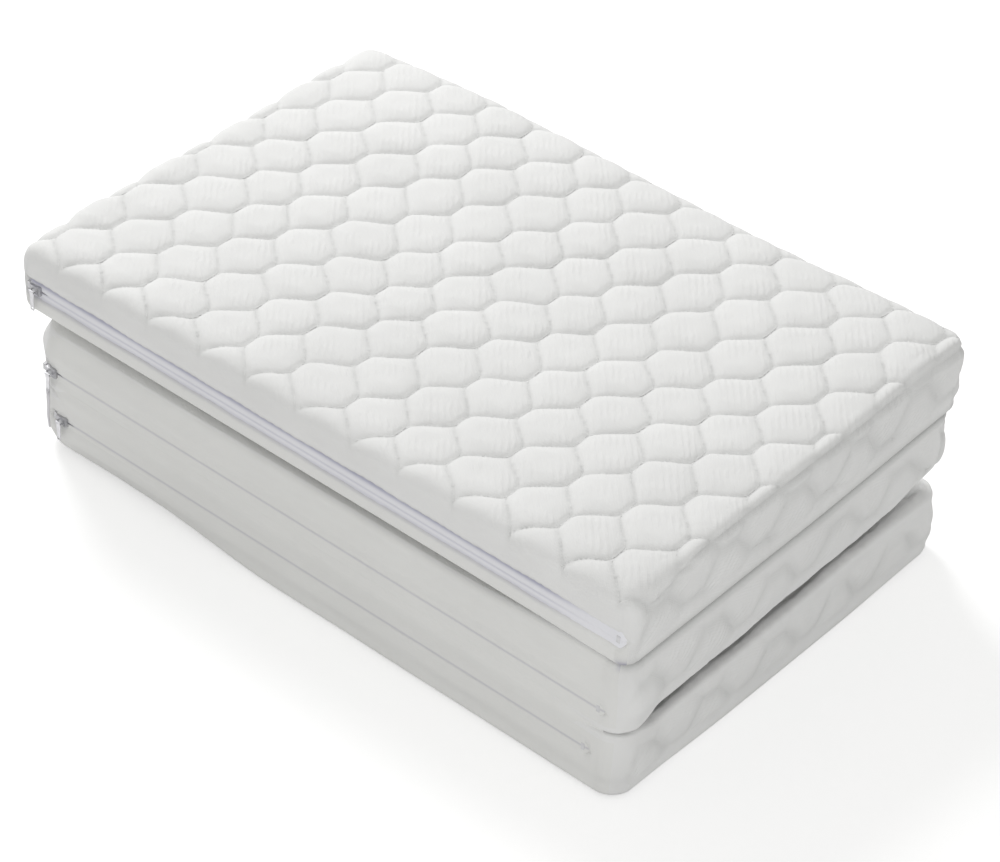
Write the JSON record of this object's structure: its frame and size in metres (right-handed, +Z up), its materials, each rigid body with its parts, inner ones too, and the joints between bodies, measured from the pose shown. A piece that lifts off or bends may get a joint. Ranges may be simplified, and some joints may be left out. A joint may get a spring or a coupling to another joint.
{
  "type": "folding cot mattress",
  "caption": "Folding cot mattress: foam panels in quilted white covers with zips, hinged by cloth folds into a compact stack.",
  "frame": {"origin": "centre of the lowest panel's underside, on the floor it lies on", "axes": "+X along the folds, towards the end seen on the right of the picture; -Y is the long side with the zips that the picture shows; +Z up"},
  "size_m": [0.6, 0.408, 0.1964],
  "materials": {
    "quilted_cloth": "matte",
    "plain_cloth": "matte",
    "foam": "matte",
    "zip_tape": "matte",
    "zip_coil": "satin",
    "ribbon": "matte",
    "slider_metal": "satin",
    "pull_metal": "satin"
  },
  "bodies": {
    "lower_panel": {"lower_foam_core": "foam", "lower_quilted_top": "quilted_cloth", "lower_base_cover": "plain_cloth", "lower_zip_band": "plain_cloth", "lower_back_border": "quilted_cloth", "lower_left_border": "quilted_cloth", "lower_right_border": "quilted_cloth", "lower_zip_tape_quilt_side": "zip_tape", "lower_zip_tape_base_side": "zip_tape", "lower_zip_coil": "zip_coil", "lower_zip_stop_left": "slider_metal", "lower_zip_stop_right": "slider_metal"},
    "lower_slider": {"lower_zip_slider": "slider_metal"},
    "lower_pull": {"lower_zip_pull": "pull_metal"},
    "middle_panel": {"middle_foam_core": "foam", "middle_quilted_top": "quilted_cloth", "middle_base_cover": "plain_cloth", "middle_zip_band": "plain_cloth", "middle_back_border": "quilted_cloth", "middle_left_border": "quilted_cloth", "middle_right_border": "quilted_cloth", "middle_zip_tape_quilt_side": "zip_tape", "middle_zip_tape_base_side": "zip_tape", "middle_zip_coil": "zip_coil", "middle_zip_stop_left": "slider_metal", "middle_zip_stop_right": "slider_metal"},
    "middle_slider": {"middle_zip_slider": "slider_metal"},
    "middle_pull": {"middle_zip_pull": "pull_metal", "middle_pull_ribbon": "ribbon"},
    "upper_panel": {"upper_foam_core": "foam", "upper_quilted_top": "quilted_cloth", "upper_base_cover": "plain_cloth", "upper_zip_band": "quilted_cloth", "upper_back_border": "quilted_cloth", "upper_left_border": "quilted_cloth", "upper_right_border": "quilted_cloth", "upper_zip_tape_quilt_side": "zip_tape", "upper_zip_tape_base_side": "zip_tape", "upper_zip_coil": "zip_coil", "upper_zip_stop_left": "slider_metal", "upper_zip_stop_right": "slider_metal"},
    "upper_slider": {"upper_zip_slider": "slider_metal"},
    "upper_pull": {"upper_zip_pull": "pull_metal"}
  },
  "joints": [
    {"name": "front_fold", "type": "hinge", "parent": "lower_panel", "child": "middle_panel", "pos_m": [0, -0.2026, 0.0603], "axis": [1, 0, 0], "range_deg": [0, 177.8], "deforming": ["middle_pull_ribbon"]},
    {"name": "back_fold", "type": "hinge", "parent": "middle_panel", "child": "upper_panel", "pos_m": [0, 0.19998, 0.13641], "axis": [-1, 0, 0], "range_deg": [0, 178.8]},
    {"name": "lower_zip_travel", "type": "slide", "parent": "lower_panel", "child": "lower_slider", "axis": [1, 0, 0], "range_m": [0, 0.5175]},
    {"name": "middle_zip_travel", "type": "slide", "parent": "middle_panel", "child": "middle_slider", "axis": [1, 0, 0], "range_m": [0, 0.5375]},
    {"name": "upper_zip_travel", "type": "slide", "parent": "upper_panel", "child": "upper_slider", "axis": [1, 0, 0], "range_m": [0, 0.5615]},
    {"name": "lower_pull_swing", "type": "hinge", "parent": "lower_slider", "child": "lower_pull", "pos_m": [-0.258, -0.2036, 0.036], "axis": [1, 0, 0], "range_deg": [-150, 0]},
    {"name": "middle_pull_swing", "type": "hinge", "parent": "middle_slider", "child": "middle_pull", "pos_m": [-0.268, -0.2043, 0.07855], "axis": [1, 0, 0], "range_deg": [-150, 0]},
    {"name": "upper_pull_swing", "type": "hinge", "parent": "upper_slider", "child": "upper_pull", "pos_m": [-0.28, -0.20655, 0.15162], "axis": [1, 0, 0], "range_deg": [-150, 0]}
  ]
}
